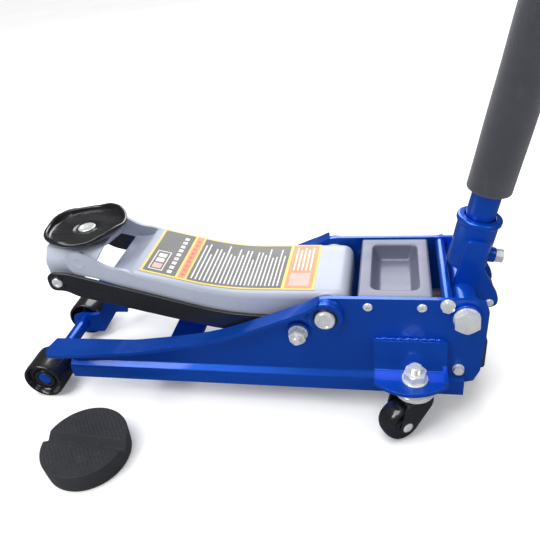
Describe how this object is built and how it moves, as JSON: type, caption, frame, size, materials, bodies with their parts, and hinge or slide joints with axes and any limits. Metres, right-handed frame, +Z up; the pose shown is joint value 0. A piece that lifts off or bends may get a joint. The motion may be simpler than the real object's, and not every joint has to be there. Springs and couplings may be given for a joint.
{
  "type": "car jack",
  "caption": "Low trolley jack with a lift arm, level saddle, hydraulic pump, tilting padded handle, front rollers, rear swivel casters and a loose rubber pad.",
  "frame": {"origin": "middle of the bounding box base, on the floor", "axes": "+Z up, +X from the saddle towards the handle, +Y from the loose pad towards the jack"},
  "size_m": [0.7864, 0.3814, 1.1235],
  "materials": {
    "blue_paint": "glossy blue enamel",
    "arm_paint": "satin light grey paint",
    "black_paint": "semi-gloss black paint",
    "zinc_plate": "bright zinc plating",
    "tray_paint": "satin grey paint",
    "cast_body": "dark painted casting",
    "ground_steel": "turned and ground steel",
    "wheel_enamel": "glossy black enamel on a casting",
    "fork_paint": "dark grey pressed steel",
    "foam_sleeve": "matt closed-cell foam",
    "grip_rubber": "matt moulded rubber",
    "pad_rubber": "matt dimpled rubber",
    "label_film": "printed self-adhesive film"
  },
  "bodies": {
    "chassis": {"side_plate_left": "blue_paint", "side_plate_right": "blue_paint", "caster_bracket_left": "blue_paint", "caster_bracket_right": "blue_paint", "cross_rod_bolt_left": "zinc_plate", "cross_rod_bolt_right": "zinc_plate", "block_bolt_left": "zinc_plate", "block_bolt_right": "zinc_plate", "socket_bolt_left": "zinc_plate", "socket_bolt_right": "zinc_plate", "link_stud_left": "zinc_plate", "link_stud_right": "zinc_plate", "tray_screw_left_front": "zinc_plate", "tray_screw_left_rear": "zinc_plate", "tray_screw_right_front": "zinc_plate", "tray_screw_right_rear": "zinc_plate", "front_axle": "blue_paint", "cross_tie_plate": "blue_paint", "rear_cross_rod": "blue_paint", "main_pivot_pin": "zinc_plate", "tool_tray": "tray_paint", "pump_block": "cast_body", "ram_cylinder": "ground_steel", "oil_reservoir": "cast_body", "oil_filler_plug": "black_paint", "plunger_spring": "ground_steel", "caster_stem_left": "zinc_plate", "caster_stem_right": "zinc_plate"},
    "lift_arm": {"lift_arm": "arm_paint", "arm_label": "label_film", "arm_front_pin": "arm_paint", "heel_pin": "ground_steel"},
    "saddle_unit": {"saddle_bracket": "arm_paint", "link_front_pin": "zinc_plate", "pin_clip_left": "black_paint", "pin_clip_right": "black_paint"},
    "level_links": {"link_bar_left": "black_paint", "link_bar_right": "black_paint"},
    "saddle": {"saddle": "black_paint", "saddle_bolt": "zinc_plate"},
    "ram": {"ram_rod": "ground_steel"},
    "handle_socket": {"handle_socket": "blue_paint", "handle_lock_screw": "zinc_plate", "roller_pin": "zinc_plate", "plunger_roller": "ground_steel"},
    "plunger": {"pump_plunger": "ground_steel"},
    "handle": {"handle_lower_tube": "blue_paint", "handle_upper_tube": "blue_paint", "foam_sleeve": "foam_sleeve", "handle_grip": "grip_rubber"},
    "release_valve": {"release_valve": "ground_steel"},
    "front_wheel_left": {"front_wheel_left": "wheel_enamel"},
    "front_wheel_right": {"front_wheel_right": "wheel_enamel"},
    "caster_fork_left": {"caster_fork_left": "fork_paint", "caster_axle_left": "zinc_plate"},
    "caster_fork_right": {"caster_fork_right": "fork_paint", "caster_axle_right": "zinc_plate"},
    "caster_wheel_left": {"caster_wheel_left": "wheel_enamel"},
    "caster_wheel_right": {"caster_wheel_right": "wheel_enamel"},
    "pad": {"rubber_pad": "pad_rubber"}
  },
  "joints": [
    {"name": "arm_lift", "type": "hinge", "parent": "chassis", "child": "lift_arm", "pos_m": [0.04636, 0.05072, 0.1455], "axis": [0, 1, 0], "range_deg": [-28.5, 50]},
    {"name": "saddle_level", "type": "hinge", "parent": "lift_arm", "child": "saddle_unit", "pos_m": [-0.26554, 0.05072, 0.209], "axis": [0, 1, 0], "range_deg": [-50, 28.5]},
    {"name": "link_swing", "type": "hinge", "parent": "chassis", "child": "level_links", "pos_m": [0.01136, 0.05072, 0.1195], "axis": [0, 1, 0], "range_deg": [-28.5, 50]},
    {"name": "saddle_spin", "type": "hinge", "parent": "saddle_unit", "child": "saddle", "pos_m": [-0.27424, 0.05072, 0.225], "axis": [0, 0, 1], "continuous": true},
    {"name": "ram_stroke", "type": "slide", "parent": "chassis", "child": "ram", "axis": [-1, 0, 0], "range_m": [-0.024, 0.042]},
    {"name": "handle_pump", "type": "hinge", "parent": "chassis", "child": "handle_socket", "pos_m": [0.20536, 0.05072, 0.1475], "axis": [0, 1, 0], "range_deg": [0, 57]},
    {"name": "plunger_stroke", "type": "slide", "parent": "chassis", "child": "plunger", "axis": [0, 0, -1], "range_m": [0, 0.0237], "deforming": ["plunger_spring"]},
    {"name": "handle_turn", "type": "hinge", "parent": "handle_socket", "child": "handle", "pos_m": [0.20536, 0.05072, 0.1475], "axis": [0.1719, 0, 0.9851], "range_deg": [-90, 90]},
    {"name": "valve_turn", "type": "hinge", "parent": "chassis", "child": "release_valve", "pos_m": [0.21476, 0.07472, 0.08], "axis": [0, 0, 1], "range_deg": [-90, 90]},
    {"name": "front_wheel_left_spin", "type": "hinge", "parent": "chassis", "child": "front_wheel_left", "pos_m": [-0.36424, -0.01928, 0.029], "axis": [0, 1, 0], "continuous": true},
    {"name": "front_wheel_right_spin", "type": "hinge", "parent": "chassis", "child": "front_wheel_right", "pos_m": [-0.36424, 0.12072, 0.029], "axis": [0, 1, 0], "continuous": true},
    {"name": "caster_swivel_left", "type": "hinge", "parent": "chassis", "child": "caster_fork_left", "pos_m": [0.14976, -0.05428, 0.06], "axis": [0, 0, 1], "range_deg": [-35, 145]},
    {"name": "caster_wheel_left_spin", "type": "hinge", "parent": "caster_fork_left", "child": "caster_wheel_left", "pos_m": [0.13256, -0.06633, 0.025], "axis": [-0.5736, 0.8192, 0], "continuous": true},
    {"name": "caster_swivel_right", "type": "hinge", "parent": "chassis", "child": "caster_fork_right", "pos_m": [0.14976, 0.15572, 0.06], "axis": [0, 0, 1], "range_deg": [-145, 35]},
    {"name": "caster_wheel_right_spin", "type": "hinge", "parent": "caster_fork_right", "child": "caster_wheel_right", "pos_m": [0.13256, 0.16776, 0.025], "axis": [0.5736, 0.8192, 0], "continuous": true},
    {"name": "pad_lift", "type": "slide", "parent": "chassis", "child": "pad", "axis": [0, 0, 1], "range_m": [0, 0.3]}
  ],
  "couplings": [
    {"joint": "saddle_level", "follows": "arm_lift", "ratio": -1},
    {"joint": "link_swing", "follows": "arm_lift", "ratio": 1},
    {"joint": "ram_stroke", "follows": "arm_lift", "m_per_rad": 0.04805},
    {"joint": "plunger_stroke", "follows": "handle_pump", "m_per_rad": 0.0237},
    {"joint": "valve_turn", "follows": "handle_turn", "ratio": 1}
  ]
}
